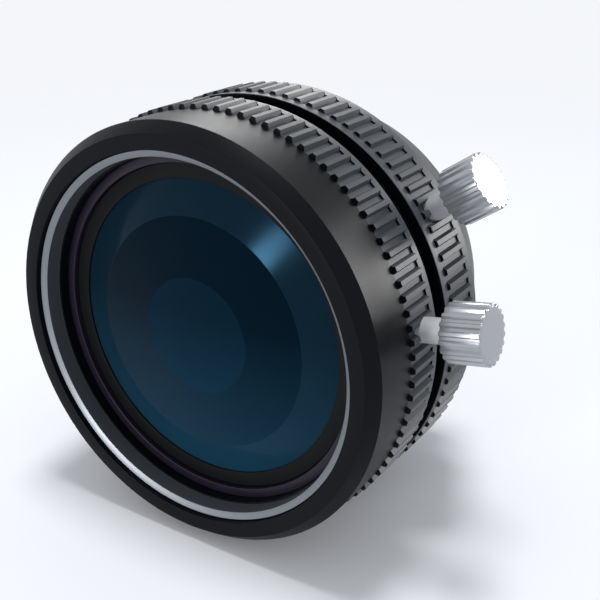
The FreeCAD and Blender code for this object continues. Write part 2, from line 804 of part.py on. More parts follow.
def build_inner_barrel():
    outline = [
        (filter_radius, filter_front), (head_radius, head_front), (head_radius, head_back),
        (slider_radius, head_back), (slider_radius, slider_back), (rear_seat_radius, slider_back),
        (rear_seat_radius, rear_cell_front), (cavity_radius, rear_cell_front),
        (cavity_radius, base_plate_front), (middle_opening, base_plate_front),
        (middle_opening, third_glass_back), (middle_bore, third_glass_back), (middle_bore, middle_seat),
        (front_bore, middle_seat), (front_bore, bezel_seat), (front_seat_radius, bezel_seat),
        (front_seat_radius, filter_back), (filter_radius, filter_back)]
    blank = turned("inner_barrel_blank", outline)
    margin = size("stop_margin")
    travel = size("focus_travel")
    pin_room = size("drive_pin_radius") + margin
    edge = half_angle(pin_room, cavity_radius)
    outside = slider_radius + margin
    tools = [
        radial_block(f"key_slot_{number}", size("key_width") + size("running_fit") * 2,
                     key_inner - size("running_fit"), outside, key_front - travel - margin,
                     key_back + margin, azimuth)
        for number, azimuth in enumerate(key_azimuths(), start=1)]
    window_front = drive_station - travel - pin_room
    tools.append(sector("drive_window", cavity_radius - margin, outside, window_front,
                        drive_station + pin_room, SIZES["drive_azimuth"] - edge,
                        SIZES["iris_turn"] + 2 * edge))
    cut("inner_barrel", blank, tools)


def build_front_rings():
    """The threaded ring, the bezel under it and the ring that ties the focus ring on."""
    keep("front_retaining_ring", ring("front_retaining_ring", front_ring_radius, front_ring_bore,
                                      front_ring_front, glass_shoulder))
    neck_front = glass_shoulder - size("bezel_stand")
    lip = outer_zone_radius + size("seat_fit")
    neck = front_ring_bore - size("bezel_clearance")
    outline = [
        (lip, neck_front), (neck, neck_front), (neck, glass_shoulder), (front_ring_radius, glass_shoulder),
        (front_ring_radius, bezel_seat), (front_bore, bezel_seat), (front_bore, glass_shoulder),
        (lip, glass_shoulder)]
    keep("front_bezel", turned("front_bezel", outline))
    keep("focus_retaining_ring", ring("focus_retaining_ring", retainer_radius,
                                      slider_radius + size("seat_fit"), retainer_front, retainer_back))


def build_front_group():
    hollow = front_glass_radius - size("front_rim")
    outline = [
        (0, glass_shoulder - size("front_apex_rise")),
        (inner_zone_radius, glass_shoulder - size("middle_zone_rise")),
        (middle_zone_radius, glass_shoulder - size("outer_zone_rise")),
        (outer_zone_radius, glass_shoulder), (front_glass_radius, glass_shoulder),
        (front_glass_radius, front_glass_back), (hollow, front_glass_back),
        (0, front_glass_back - size("front_hollow_depth"))]
    keep("front_element", turned("front_element", outline, domes=(0, 6)))
    keep("front_spacer", ring("front_spacer", front_glass_radius, middle_opening,
                              front_glass_back, middle_seat))
    lens("second_element", middle_glass_radius, middle_clear_radius, middle_seat, second_glass_back,
         size("second_front_rise"), -size("second_back_hollow"))
    keep("middle_spacer", ring("middle_spacer", middle_glass_radius, middle_opening,
                               second_glass_back, third_glass_front))
    lens("third_element", middle_glass_radius, middle_clear_radius, third_glass_front, third_glass_back,
         size("third_front_rise"), size("third_back_rise"))


def build_rear_group():
    flange = rear_seat_radius - size("seat_fit")
    rim = size("edge_break")
    outline = [
        (rear_opening, rear_cell_front), (flange, rear_cell_front), (flange, rear_flange_back),
        (rear_tube_radius, rear_flange_back), (rear_tube_radius, rear_cell_back - rim),
        (rear_tube_radius - rim, rear_cell_back), (rear_bore, rear_cell_back),
        (rear_bore, fourth_glass_front), (rear_opening, fourth_glass_front)]
    keep("rear_cell", turned("rear_cell", outline))
    keep("rear_retaining_ring", ring("rear_retaining_ring", flange, rear_ring_bore,
                                     rear_flange_back, rear_ring_back))
    lens("fourth_element", rear_glass_radius, rear_clear_radius, fourth_glass_front, fourth_glass_back,
         -size("fourth_front_hollow"), -size("fourth_back_hollow"))
    lens("fifth_element", rear_glass_radius, rear_clear_radius, fifth_glass_front, fifth_glass_back,
         size("fourth_back_hollow"), size("fifth_back_rise"))
    keep("rear_spacer", ring("rear_spacer", rear_glass_radius, rear_opening,
                             fifth_glass_back, rear_glass_front))
    lens("rear_element", rear_glass_radius, rear_clear_radius, rear_glass_front, rear_glass_back,
         size("rear_front_rise"), size("rear_back_rise"))
    keep("rear_element_retainer", ring("rear_element_retainer", rear_glass_radius, rear_opening,
                                       rear_glass_back, rear_retainer_back))


# Iris diaphragm

def pivot_azimuths():
    count = int(SIZES["blade_count"])
    return [SIZES["pivot_azimuth"] + 360.0 * number / count for number in range(count)]


def upright_rod(radius, front, back, reach, azimuth):
    """A pin along the optical axis, at a reach from it."""
    base = direction(azimuth) * reach + FreeCAD.Vector(0, front, 0)
    return Part.makeCylinder(radius, back - front, base, FreeCAD.Vector(0, 1, 0))


def build_iris_base_plate():
    blank = ring("iris_base_plate_blank", cavity_radius - size("seat_fit"), base_aperture_radius,
                 base_plate_front, base_plate_back)
    radius = SIZES["pivot_pin_radius"] + SIZES["seat_fit"]
    floor = base_plate_back.value - SIZES["pivot_pin_depth"]
    holes = []
    for number, azimuth in enumerate(pivot_azimuths(), start=1):
        hole = doc.addObject("Part::Feature", f"pivot_hole_{number}")
        hole.Shape = upright_rod(radius, floor, cam_front.value, pivot_radius.value, azimuth)
        holes.append(hole)
    cut("iris_base_plate", blank, holes)


def build_iris_pivot_pins():
    floor = base_plate_back.value - SIZES["pivot_pin_depth"]
    top = cam_front.value - SIZES["blade_clearance"]
    pins = []
    for number, azimuth in enumerate(pivot_azimuths(), start=1):
        pin = doc.addObject("Part::Feature", f"pivot_pin_{number}")
        pin.Shape = upright_rod(SIZES["pivot_pin_radius"], floor, top, pivot_radius.value, azimuth)
        pins.append(pin)
    group("iris_pivot_pins", pins)


def build_iris_blades():
    """Sickle blades, each on its own level, with a pivot hole and a cam pin in the heel."""
    inner = blade_inner_radius.value
    outer = blade_outer_radius.value
    heel = blade_heel_radius.value
    reach = pivot_radius.value
    margin = SIZES["blade_heel_angle"]
    pin_angle = SIZES["cam_pin_angle"]
    tip_angle = SIZES["blade_tip_angle"]
    hole_radius = SIZES["pivot_pin_radius"] + SIZES["running_fit"]
    pin_top = cam_plate_back.value - SIZES["blade_clearance"]
    for number, azimuth in enumerate(pivot_azimuths()):
        front = blade_start.value + SIZES["blade_pitch"] * number
        back = front + SIZES["blade_thickness"]
        start = azimuth - margin
        band = sector_shape(inner, outer, front, back, start, tip_angle + margin)
        foot = sector_shape(inner, heel, front, back, start, pin_angle + 2 * margin)
        tip = upright_rod((outer - inner) / 2, front, back, (outer + inner) / 2, azimuth + tip_angle)
        pin = upright_rod(SIZES["cam_pin_radius"], front, pin_top, reach, azimuth + pin_angle)
        hole = upright_rod(hole_radius, base_plate_front.value, cam_plate_back.value, reach, azimuth)
        blade = doc.addObject("Part::Feature", f"iris_blade_{number + 1}")
        blade.Shape = band.fuse([foot, tip, pin]).cut(hole).removeSplitter()
        keep(f"iris_blade_{number + 1}", blade)


def cam_slot_points(pivot_azimuth):
    """The path of a blade's cam pin as the cam ring sees it.

    The blade turns about its pivot at a steady share of the iris ring's own turn, so the pin's
    place is its rest place turned about the pivot, less the turn of the cam ring.
    """
    steps = 12
    reach = pivot_radius.value
    pivot = direction(pivot_azimuth) * reach
    rest = direction(pivot_azimuth + SIZES["cam_pin_angle"]) * reach
    axis = FreeCAD.Vector(0, -1, 0)
    points = []
    for step in range(steps + 1):
        share = step / steps
        swing = FreeCAD.Rotation(axis, SIZES["blade_turn"] * share)
        back_turn = FreeCAD.Rotation(axis, -SIZES["iris_turn"] * share)
        points.append(back_turn.multVec(pivot + swing.multVec(rest - pivot)))
    return points


def slot_shape(points, half_width, front, back):
    """A slot of even width along a smooth path that lies square to the optical axis."""
    axis = FreeCAD.Vector(0, 1, 0)
    lift = FreeCAD.Vector(0, front, 0)
    path = Part.BSplineCurve()
    path.interpolate(points)
    sides = []
    for sign in (1, -1):
        edge_points = []
        for point in points:
            along = path.tangent(path.parameter(point))[0]
            edge_points.append(point + along.cross(axis) * (sign * half_width) + lift)
        side = Part.BSplineCurve()
        side.interpolate(edge_points)
        sides.append(side)
    ends = []
    for index, sign in ((0, -1), (-1, 1)):
        along = path.tangent(path.parameter(points[index]))[0]
        tip = points[index] + along * (sign * half_width) + lift
        first = sides[0].StartPoint if index == 0 else sides[0].EndPoint
        second = sides[1].StartPoint if index == 0 else sides[1].EndPoint
        ends.append(Part.Arc(first, tip, second).toShape())
    wire = Part.Wire(Part.__sortEdges__([sides[0].toShape(), sides[1].toShape(), *ends]))
    return Part.Face(wire).extrude(FreeCAD.Vector(0, back - front, 0))


def build_iris_cam_ring():
    """The plate whose slots drive the blades, with a skirt that the drive pin turns."""
    blank = turned("iris_cam_ring_blank", [
        (cam_inner_radius, cam_front), (cam_outer_radius, cam_front), (cam_outer_radius, cam_back),
        (cam_skirt_radius, cam_back), (cam_skirt_radius, cam_plate_back), (cam_inner_radius, cam_plate_back)])
    margin = size("stop_margin")
    tools = []
    for number, azimuth in enumerate(pivot_azimuths(), start=1):
        slot = doc.addObject("Part::Feature", f"cam_slot_{number}")
        slot.Shape = slot_shape(cam_slot_points(azimuth), SIZES["cam_pin_radius"] + SIZES["running_fit"],
                                (cam_front - margin).value, (cam_plate_back + margin).value)
        tools.append(slot)
    fork_width = (size("drive_pin_radius") + size("running_fit")) * 2
    tools.append(radial_block("drive_fork", fork_width, drive_pin_inner - margin, cavity_radius,
                              cam_front - margin, cam_back + margin, SIZES["drive_azimuth"]))
    cut("iris_cam_ring", blank, tools)


def check_and_export():
    """Stops if anything failed, and otherwise writes one file for each sub-part."""
    doc.recompute()
    for item in doc.Objects:
        if "Invalid" in item.State or "Error" in item.State:
            raise RuntimeError(f"{item.Label} failed: {item.State}")
    os.makedirs("parts", exist_ok=True)
    for name, item in pieces.items():
        shape = item.Shape
        if shape.isNull() or not shape.isValid() or not shape.Solids:
            raise RuntimeError(f"{name} is not a valid solid")
        shape.exportStep(os.path.join("parts", f"{name}.step"))
        print(f"{name}: {len(shape.Solids)} solid(s), {shape.Volume:.2f} mm3")


build_mount_ring()
build_rear_housing()
build_set_screws()
build_main_barrel()
build_iris_ring_clip()
build_guide_keys()
build_focus_stop_pin()
build_focus_ring()
build_iris_ring()
build_iris_drive_pin()
build_thumb_screw("focus_lock_screw", focus_screw_station, SIZES["focus_screw_azimuth"])
build_thumb_screw("iris_lock_screw", iris_screw_station, SIZES["iris_screw_azimuth"])
build_inner_barrel()
build_front_rings()
build_front_group()
build_rear_group()
build_iris_base_plate()
build_iris_pivot_pins()
build_iris_blades()
build_iris_cam_ring()
check_and_export()
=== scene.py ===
"""Looks of the C-mount lens: fine surfaces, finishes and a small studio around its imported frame.

Lengths are millimetres, apart from those in the panel, which are in the scene's own unit. The
optical axis is Y with the front towards -Y, Z is up, and an azimuth turns from +X towards +Z.
A station is a place along Y, and a radius is the distance from it.
"""

import json
import math

import bpy
import numpy as np
from bpy.props import FloatProperty, FloatVectorProperty, IntProperty, PointerProperty
from mathutils import Matrix, Vector


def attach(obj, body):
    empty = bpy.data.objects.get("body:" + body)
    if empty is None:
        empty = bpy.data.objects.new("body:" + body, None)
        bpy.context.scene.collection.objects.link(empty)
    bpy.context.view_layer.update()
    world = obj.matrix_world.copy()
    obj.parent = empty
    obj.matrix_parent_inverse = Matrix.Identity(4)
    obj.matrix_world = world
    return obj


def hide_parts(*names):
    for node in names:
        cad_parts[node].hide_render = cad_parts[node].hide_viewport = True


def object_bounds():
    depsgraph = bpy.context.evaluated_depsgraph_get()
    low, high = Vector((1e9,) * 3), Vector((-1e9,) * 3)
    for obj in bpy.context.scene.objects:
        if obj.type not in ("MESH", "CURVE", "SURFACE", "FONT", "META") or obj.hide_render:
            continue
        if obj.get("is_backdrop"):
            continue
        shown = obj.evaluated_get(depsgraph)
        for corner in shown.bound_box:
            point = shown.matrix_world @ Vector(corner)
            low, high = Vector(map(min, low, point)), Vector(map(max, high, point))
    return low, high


bl_info = {
    "name": "C-mount lens looks",
    "version": (1, 0, 0),
    "blender": (4, 5, 0),
    "location": "View3D > Sidebar > Lens",
    "description": "Surfaces, finishes and studio of a C-mount lens with two locking rings",
    "category": "Object",
}

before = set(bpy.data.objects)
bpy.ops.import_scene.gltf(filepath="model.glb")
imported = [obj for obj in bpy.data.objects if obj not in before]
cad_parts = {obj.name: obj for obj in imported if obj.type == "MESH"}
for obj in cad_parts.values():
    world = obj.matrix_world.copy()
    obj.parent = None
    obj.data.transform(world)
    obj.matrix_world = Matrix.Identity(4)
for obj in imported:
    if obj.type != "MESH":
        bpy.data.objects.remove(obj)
MM = 0.001
TAU = 2 * math.pi
# Columns of a plain surface of revolution
AROUND = 240
# Rounding of a profile's corner whose row names none
BREAK = 0.05

# Azimuth in degrees and station of each thumb screw, and of the tapped hole that takes it
FOCUS_SCREW = (9.8, -16.35)
IRIS_SCREW = (34.35, -9.75)
# Stations at which pieces meet: the front glass and its ring, the barrel and the rear cell, and
# the front and back rims of the rear glass
GLASS_SHOULDER = -20.20
CELL_FRONT = -7.80
REAR_GLASS = (-1.61, 0.59)


# Colours and lengths as properties

def to_linear(code):
    """Linear colour of an sRGB hex code, by the sRGB curve of each channel."""
    level = np.array([int(code[i:i + 2], 16) for i in (1, 3, 5)]) / 255
    line = np.where(level <= 0.04045, level / 12.92, ((level + 0.055) / 1.055) ** 2.4)
    return (*(float(v) for v in line), 1.0)


def length(name, description, millimetres):
    """A length that the panel shows in the scene's unit."""
    return FloatProperty(name=name, description=description, default=millimetres * MM, min=0,
                         unit="LENGTH", precision=5)


def tint(name, description, code):
    """A colour that the panel shows, given as an sRGB hex code."""
    return FloatVectorProperty(name=name, description=description, default=to_linear(code),
                               size=4, min=0, max=1, subtype="COLOR")


class RingSizes(bpy.types.PropertyGroup):
    """Sizes of the two turned rings."""

    focus_band: length("Focus band radius", "Smooth band behind the focus ring's chamfer", 17.7)
    focus_grip: length("Focus grip radius", "Over the tops of the focus ring's teeth", 18.05)
    focus_teeth: IntProperty(name="Focus teeth", description="Teeth around the focus ring",
                             default=99, min=12)
    iris_band: length("Iris band radius", "Plain bands of the iris ring", 17.88)
    iris_grip: length("Iris grip radius", "Over the tops of the iris ring's teeth", 18.14)
    iris_teeth: IntProperty(name="Iris teeth", description="Teeth around the iris ring",
                            default=96, min=12)
    edge: length("Edge break", "Rounding of the turned edges", 0.07)


class ScrewSizes(bpy.types.PropertyGroup):
    """Sizes of the two thumb screws."""

    head: length("Head radius", "Over the flutes of a thumb screw", 2.32)
    shank: length("Shank radius", "Plain shank between head and ring", 1.0)
    flutes: IntProperty(name="Flutes", description="Flutes around a thumb screw's head",
                        default=20, min=6)


class GlassSizes(bpy.types.PropertyGroup):
    """Sizes of the front glass and of the mount thread."""

    outer_zone: length("Outer zone radius", "Rim of the front glass's outer zone", 12.7)
    middle_zone: length("Middle zone radius", "Edge between the outer and the middle zone", 9.91)
    inner_zone: length("Inner zone radius", "Edge of the flat-looking centre", 4.95)
    thread_pitch: length("Mount thread pitch", "Rise of the mount thread in one turn", 25.4 / 32)


class Finishes(bpy.types.PropertyGroup):
    """Colours of the finishes."""

    anodised: tint("Black anodised", "Satin black of the rings and the housing", "#06090E")
    # Painted lighter than the black rings, standing in for the light on the teeth
    grip: tint("Grip anodising, painted lighter", "Toothed bands, painted lighter as if lit", "#464A4F")
    matt: tint("Matt black", "Blackened inside parts", "#080A0D")
    rim: tint("Turned rim", "Satin rim inside the focus ring", "#7E8186")
    wall: tint("Filter wall", "Dark grey wall behind the rim", "#45484D")
    bare: tint("Clear anodised", "Satin aluminium of the camera mount", "#B8BABD")
    nickel: tint("Nickel", "Bright plate of the thumb screws", "#A4A6AA")
    glass_outer: tint("Outer glass", "Body colour of the front glass's outer zone", "#0F222E")
    glass_middle: tint("Middle glass", "Body colour of its middle zone", "#000F1A")
    glass_inner: tint("Inner glass", "Body colour of its centre", "#001928")
    backdrop: tint("Backdrop", "Pale studio ground and background", "#F4F6FA")


class LensLooks(bpy.types.PropertyGroup):
    """Everything that a user would change."""

    rings: PointerProperty(type=RingSizes)
    screws: PointerProperty(type=ScrewSizes)
    glass: PointerProperty(type=GlassSizes)
    finishes: PointerProperty(type=Finishes)


def looks():
    """The sizes and colours that the panel shows."""
    return bpy.context.scene.lens_looks


# Surfaces

def rounded(corners, steps=4):
    """Points of a closed profile with rounded corners, as rows of radius, station and rise.

    Each corner is a radius and a station, then optionally a corner radius, which is BREAK
    otherwise, and how far teeth rise there. An arc tangent to both sides stands in for a corner:
    it starts at the corner radius over the tangent of half the corner's angle from the corner,
    and its centre lies on the bisector at the corner radius over the sine of that half.
    """
    unnamed = (0.0, 0.0, BREAK, 0.0)
    table = np.array([(*row, *unnamed[len(row):]) for row in corners], float)
    spot, bend = table[:, :2], table[:, 2:3]

    def unit(v):
        return v / np.maximum(np.linalg.norm(v, axis=1, keepdims=True), 1e-9)

    back, ahead = unit(np.roll(spot, 1, 0) - spot), unit(np.roll(spot, -1, 0) - spot)
    half = np.arccos(np.clip((back * ahead).sum(1, keepdims=True), -1, 1)) / 2
    # Held off a hairpin and off a straight line, where a divisor below would be zero
    half = np.clip(half, 0.05, math.pi / 2 - 0.001)
    centre = spot + unit(back + ahead) * bend / np.sin(half)
    start = spot + back * bend / np.tan(half) - centre
    end = spot + ahead * bend / np.tan(half) - centre
    sweep = (math.pi - 2 * half)[:, None]
    t = np.linspace(0, 1, steps + 1)[None, :, None]
    arc = (np.sin((1 - t) * sweep) * start[:, None] + np.sin(t * sweep) * end[:, None]) / np.sin(sweep)
    points = (centre[:, None] + arc).reshape(-1, 2)
    points = np.column_stack([points, np.repeat(table[:, 3], steps + 1)])
    # A sharp corner gives one point many times, and only the first is kept
    apart = np.linalg.norm(points - np.roll(points, 1, 0), axis=1) > 1e-5
    return points[apart]


def dome(radius, station, rise, count=14):
    """Points of a glass face from its rim to the axis: a circle through both whose radius is the
    rim radius squared plus the rise squared, over twice the rise."""
    bend = (radius ** 2 + rise ** 2) / (2 * rise)
    r = np.linspace(radius, 0, count)
    height = np.sign(bend) * np.sqrt(bend ** 2 - r ** 2) - (bend - rise)
    return np.column_stack([r, station + height, np.zeros(count)])


def grid_faces(rows, columns, closed):
    """Corner numbers of the quads of a grid whose columns close up, and whose rows may."""
    i = np.arange(rows if closed else rows - 1)[:, None]
    j = np.arange(columns)[None, :]
    below, right = (i + 1) % rows, (j + 1) % columns
    quads = np.stack([i * columns + j, below * columns + j, below * columns + right,
                      i * columns + right], -1)
    return quads.reshape(-1, 4)


def revolve(profile, angles=None, relief=None, poles=False):
    """A surface of revolution about Y, as (vertices, faces).

    A point sits at the profile's radius plus the relief, along the direction (cos, 0, sin) of its
    angle, at the profile's station. relief has a row for each profile point and a column for each
    angle. The profile runs outside from front to back and then inwards. With poles, its first and
    last points lie on the axis and each becomes a single vertex.
    """
    angles = np.linspace(0, TAU, AROUND, endpoint=False) if angles is None else angles
    count = len(angles)
    relief = np.zeros((len(profile), count)) if relief is None else relief
    r, y = profile[:, 0], profile[:, 1]
    inner = slice(1, -1) if poles else slice(None)
    reach = (r[:, None] + relief)[inner]
    spots = np.stack([reach * np.cos(angles), np.broadcast_to(y[inner, None], reach.shape),
                      reach * np.sin(angles)], -1).reshape(-1, 3)
    rows = len(reach)
    faces = grid_faces(rows, count, not poles).tolist()
    if poles:
        ring = np.arange(count)
        after, tail = (ring + 1) % count, (rows - 1) * count
        first = np.full(count, rows * count)
        spots = np.concatenate([spots, [[0, y[0], 0], [0, y[-1], 0]]])
        faces += np.stack([first, ring, after], -1).tolist()
        faces += np.stack([tail + ring, first + 1, tail + after], -1).tolist()
    return spots, faces


def radial_frame(azimuth, station):
    """Turns points made about Y into points about a radial line at that azimuth and station:
    the line's own length runs outwards, and its cross-section lies along Y and around."""
    a = math.radians(azimuth)
    out, side = np.array([math.cos(a), 0, math.sin(a)]), np.array([-math.sin(a), 0, math.cos(a)])
    along = np.array([0, 1.0, 0])
    return lambda p: p[:, 1:2] * out + p[:, 0:1] * along + p[:, 2:3] * side + station * along


def rod(azimuth, station, radius, start, end, columns=24):
    """A round rod along a radial line, from start to end off the axis, as a closed surface."""
    profile = np.array([[0, start], [radius, start], [radius, end], [0, end]])
    spots, faces = revolve(profile, np.linspace(0, TAU, columns, endpoint=False), poles=True)
    return radial_frame(azimuth, station)(spots), faces


def solid(name, spots, faces):
    """An object with a mesh of these vertices in mm and these faces."""
    mesh = bpy.data.meshes.new(name)
    mesh.from_pydata((np.asarray(spots) * MM).tolist(), [], faces)
    mesh.update()
    obj = bpy.data.objects.new(name, mesh)
    bpy.context.scene.collection.objects.link(obj)
    return obj


def bake(obj):
    """Puts the result of an object's modifiers into its mesh."""
    seen = obj.evaluated_get(bpy.context.evaluated_depsgraph_get())
    obj.data = bpy.data.meshes.new_from_object(seen)
    obj.modifiers.clear()


def straighten(mesh):
    """Evens the normals of turned faces. Where a corner leans less than 3 degrees around the Y
    axis it points exactly away from the axis or towards it, with the mean slope of the corners
    at the same radius and station, to a hundredth of a mm, whose faces slope alike."""
    corner, sides = np.empty(len(mesh.loops), np.int32), np.empty(len(mesh.polygons), np.int32)
    spots, normals = np.empty(len(mesh.vertices) * 3), np.empty(len(mesh.loops) * 3)
    faces = np.empty(len(mesh.polygons) * 3)
    mesh.loops.foreach_get("vertex_index", corner)
    mesh.polygons.foreach_get("loop_total", sides)
    mesh.polygons.foreach_get("normal", faces)
    mesh.vertices.foreach_get("co", spots)
    mesh.corner_normals.foreach_get("vector", normals)
    spots, normals = spots.reshape(-1, 3)[corner], normals.reshape(-1, 3)
    radius = np.hypot(spots[:, 0], spots[:, 2])
    out = spots * (1, 0, 1) / np.maximum(radius, 1e-9)[:, None]
    along, flat = (normals * out).sum(1), np.hypot(normals[:, 0], normals[:, 2])
    lean = np.abs(along) > flat * math.cos(math.radians(3))
    slopes = np.repeat(faces[1::3], sides)
    alike = np.column_stack([radius / MM, spots[:, 1] / MM, slopes, np.sign(along)])
    group = np.unique(alike.round(2), axis=0, return_inverse=True)[1].ravel()
    mean = np.bincount(group, normals[:, 1] * lean) / np.maximum(np.bincount(group, lean), 1)
    slope = np.clip(mean[group], -1, 1)
    level = out * (np.sign(along) * np.sqrt(1 - slope ** 2))[:, None] + slope[:, None] * (0, 1, 0)
    mesh.normals_split_custom_set(np.where(lean[:, None], level, normals).tolist())


def piece(name, surface, material, holes=(), turned=True):
    """An object from (vertices in mm, faces), bored by the hole surfaces. Its normals are weighted
    by face area, so broad faces stay flat and only the small roundings turn the light. Edges over
    50 degrees stay sharp."""
    obj = solid(name, *surface)
    drills = [solid(f"{name}_drill_{number}", *hole) for number, hole in enumerate(holes)]
    for drill in drills:
        cut = obj.modifiers.new("hole", "BOOLEAN")
        cut.object, cut.solver = drill, "EXACT"
    bake(obj)
    for drill in drills:
        bpy.data.objects.remove(drill)
    obj.data.shade_smooth()
    obj.data.set_sharp_from_angle(angle=math.radians(50))
    obj.modifiers.new("broad faces stay flat", "WEIGHTED_NORMAL").keep_sharp = True
    bake(obj)
    if turned:
        straighten(obj.data)
    obj.data.name = name
    obj.data.materials.clear()
    obj.data.materials.append(material)
    return obj


def face_places(obj):
    """Radius and station of each face's centre, and how far it faces the camera side."""
    centre = np.empty(len(obj.data.polygons) * 3)
    normal = np.empty_like(centre)
    obj.data.polygons.foreach_get("center", centre)
    obj.data.polygons.foreach_get("normal", normal)
    return np.hypot(centre[0::3], centre[2::3]) / MM, centre[1::3] / MM, normal[1::3]


def paint(obj, *finishes):
    """Gives some faces another finish. Each is a finish's name and a mask over the faces."""
    for name, faces in finishes:
        obj.data.materials.append(FINISH[name])
    masks = [faces for name, faces in finishes]
    numbers = np.select(masks, list(range(1, len(masks) + 1)))
    obj.data.polygons.foreach_set("material_index", numbers.astype(np.int32))


def put(obj, body, *nodes):
    """Lets a piece ride on its body in place of the CAD nodes."""
    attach(obj, body)
    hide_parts(*nodes)


# Finishes

def add(tree, kind, links=None, **settings):
    """Adds a node, sets its properties, and gives its inputs a value or a link."""
    made = tree.nodes.new(kind)
    for name, value in settings.items():
        setattr(made, name, value)
    for socket, value in (links or {}).items():
        if isinstance(value, bpy.types.NodeSocket):
            tree.links.new(value, made.inputs[socket])
        else:
            made.inputs[socket].default_value = value
    return made


def new_material(name):
    """A material with an empty node tree, and that tree."""
    made = bpy.data.materials.new(name)
    made.use_nodes = True
    made.node_tree.nodes.clear()
    return made, made.node_tree


def from_axis(tree, place):
    """Sockets for the three coordinates of a place on a turned piece, and for its radius."""
    apart = add(tree, "ShaderNodeSeparateXYZ", {0: place}).outputs
    flat = add(tree, "ShaderNodeCombineXYZ", {0: apart[0], 1: 0.0, 2: apart[2]})
    radius = add(tree, "ShaderNodeVectorMath", {0: flat.outputs[0]}, operation="LENGTH")
    return apart, radius.outputs["Value"]


def turned_metal(name, colour, metallic, roughness, specular=0.5, ring_mm=0.16, ring_depth=0.006,
                 grain_mm=0.14, grain_depth=0.004, mottle=0.06):
    """Turned and finished metal.

    ring_mm is the spacing of the tool marks, drawn about twice as coarse as the real 0.08 mm so
    that they show. They are a noise read at a point that moves only with radius and station, so
    it leaves rings. grain_mm is the size of the blasted grain under the finish, drawn about three
    times as coarse as real grit for the same reason, and it darkens the colour a little. Both
    depths are ten times the real ones. mottle is how far the roughness strays, in soft clouds.
    """
    cloud_mm, strength, grain_shade = 4.0, 0.35, 0.86
    material, tree = new_material(name)
    place = add(tree, "ShaderNodeTexCoord").outputs["Object"]
    apart, radius = from_axis(tree, place)
    rings = add(tree, "ShaderNodeCombineXYZ", {0: radius, 1: apart[1], 2: 0.0}).outputs[0]
    marks = add(tree, "ShaderNodeTexNoise", {
        "Vector": rings, "Scale": 1 / (ring_mm * MM), "Detail": 2.0})
    grain = add(tree, "ShaderNodeTexNoise", {
        "Vector": place, "Scale": 1 / (grain_mm * MM), "Detail": 3.0})
    cloud = add(tree, "ShaderNodeTexNoise", {
        "Vector": place, "Scale": 1 / (cloud_mm * MM), "Detail": 2.0})
    lines = add(tree, "ShaderNodeBump", {
        "Strength": strength, "Distance": ring_depth * MM, "Height": marks.outputs["Fac"]})
    bumps = add(tree, "ShaderNodeBump", {
        "Strength": strength, "Distance": grain_depth * MM, "Height": grain.outputs["Fac"],
        "Normal": lines.outputs[0]})
    rough = add(tree, "ShaderNodeMapRange", {
        "Value": cloud.outputs["Fac"], "To Min": roughness - mottle, "To Max": roughness + mottle})
    dark = tuple(v * grain_shade for v in colour[:3]) + (1.0,)
    tone = add(tree, "ShaderNodeMixRGB", {
        "Fac": grain.outputs["Fac"], "Color1": dark, "Color2": tuple(colour)})
    shader = add(tree, "ShaderNodeBsdfPrincipled", {
        "Base Color": tone.outputs[0], "Metallic": metallic, "Roughness": rough.outputs[0],
        "Specular IOR Level": specular, "Normal": bumps.outputs[0]})
    add(tree, "ShaderNodeOutputMaterial", {0: shader.outputs[0]})
    return material


def coated_glass(name, zones, reflection, specular, roughness, clear, painted_ground_reflection=0.0):
    """Polished dense crown glass with a blue anti-reflection coating, which gives weak blue
    reflections over a deep body colour.

    zones has, from the axis outwards, the radius where a ground zone starts, in metres, and its
    colour. clear is the share of light that passes to the group behind. painted_ground_reflection
    is how much of a lighter blue is added to the body towards its lower rim, a painted reflection
    of the pale ground. A faint haze in soft clouds keeps the large faces from looking drawn.
    """
    index, haze_mm, haze_share, stray = 1.62, 2.5, 0.2, 0.15
    # Colour of the painted ground reflection, and the heights in mm where it starts and where it is
    # full
    blue, painted_reflection_starts, painted_reflection_full = to_linear("#2A6C90"), 2, -12
    material, tree = new_material(name)
    place = add(tree, "ShaderNodeTexCoord").outputs["Object"]
    apart, radius = from_axis(tree, place)
    haze = add(tree, "ShaderNodeTexNoise", {
        "Vector": place, "Scale": 1 / (haze_mm * MM), "Detail": 3.0})
    rough = add(tree, "ShaderNodeMapRange", {
        "Value": haze.outputs["Fac"], "To Min": roughness * (1 - stray),
        "To Max": roughness * (1 + stray)})
    body = tuple(zones[0][1])
    for start, colour in zones[1:]:
        beyond = add(tree, "ShaderNodeMath", {0: radius, 1: start}, operation="GREATER_THAN")
        zone = add(tree, "ShaderNodeMixRGB", {
            "Fac": beyond.outputs[0], "Color1": body, "Color2": tuple(colour)})
        body = zone.outputs[0]
    hazy = add(tree, "ShaderNodeMixRGB", {
        "Fac": haze_share, "Color1": body, "Color2": haze.outputs["Fac"]}, blend_type="MULTIPLY")
    # Painted reflection: the body turns a lighter blue towards the lower rim, as if it mirrored the
    # pale ground
    low = add(tree, "ShaderNodeMapRange", {
        "Value": apart[2], "From Min": painted_reflection_starts * MM, "From Max": painted_reflection_full * MM, "To Max": painted_ground_reflection})
    tone = add(tree, "ShaderNodeMixRGB", {
        "Fac": low.outputs[0], "Color1": hazy.outputs[0], "Color2": blue}, blend_type="ADD")
    shader = add(tree, "ShaderNodeBsdfPrincipled", {
        "Base Color": tone.outputs[0], "Roughness": rough.outputs[0], "IOR": index,
        "Specular IOR Level": specular, "Specular Tint": reflection, "Transmission Weight": clear})
    add(tree, "ShaderNodeOutputMaterial", {0: shader.outputs[0]})
    return material


FINISH = {}


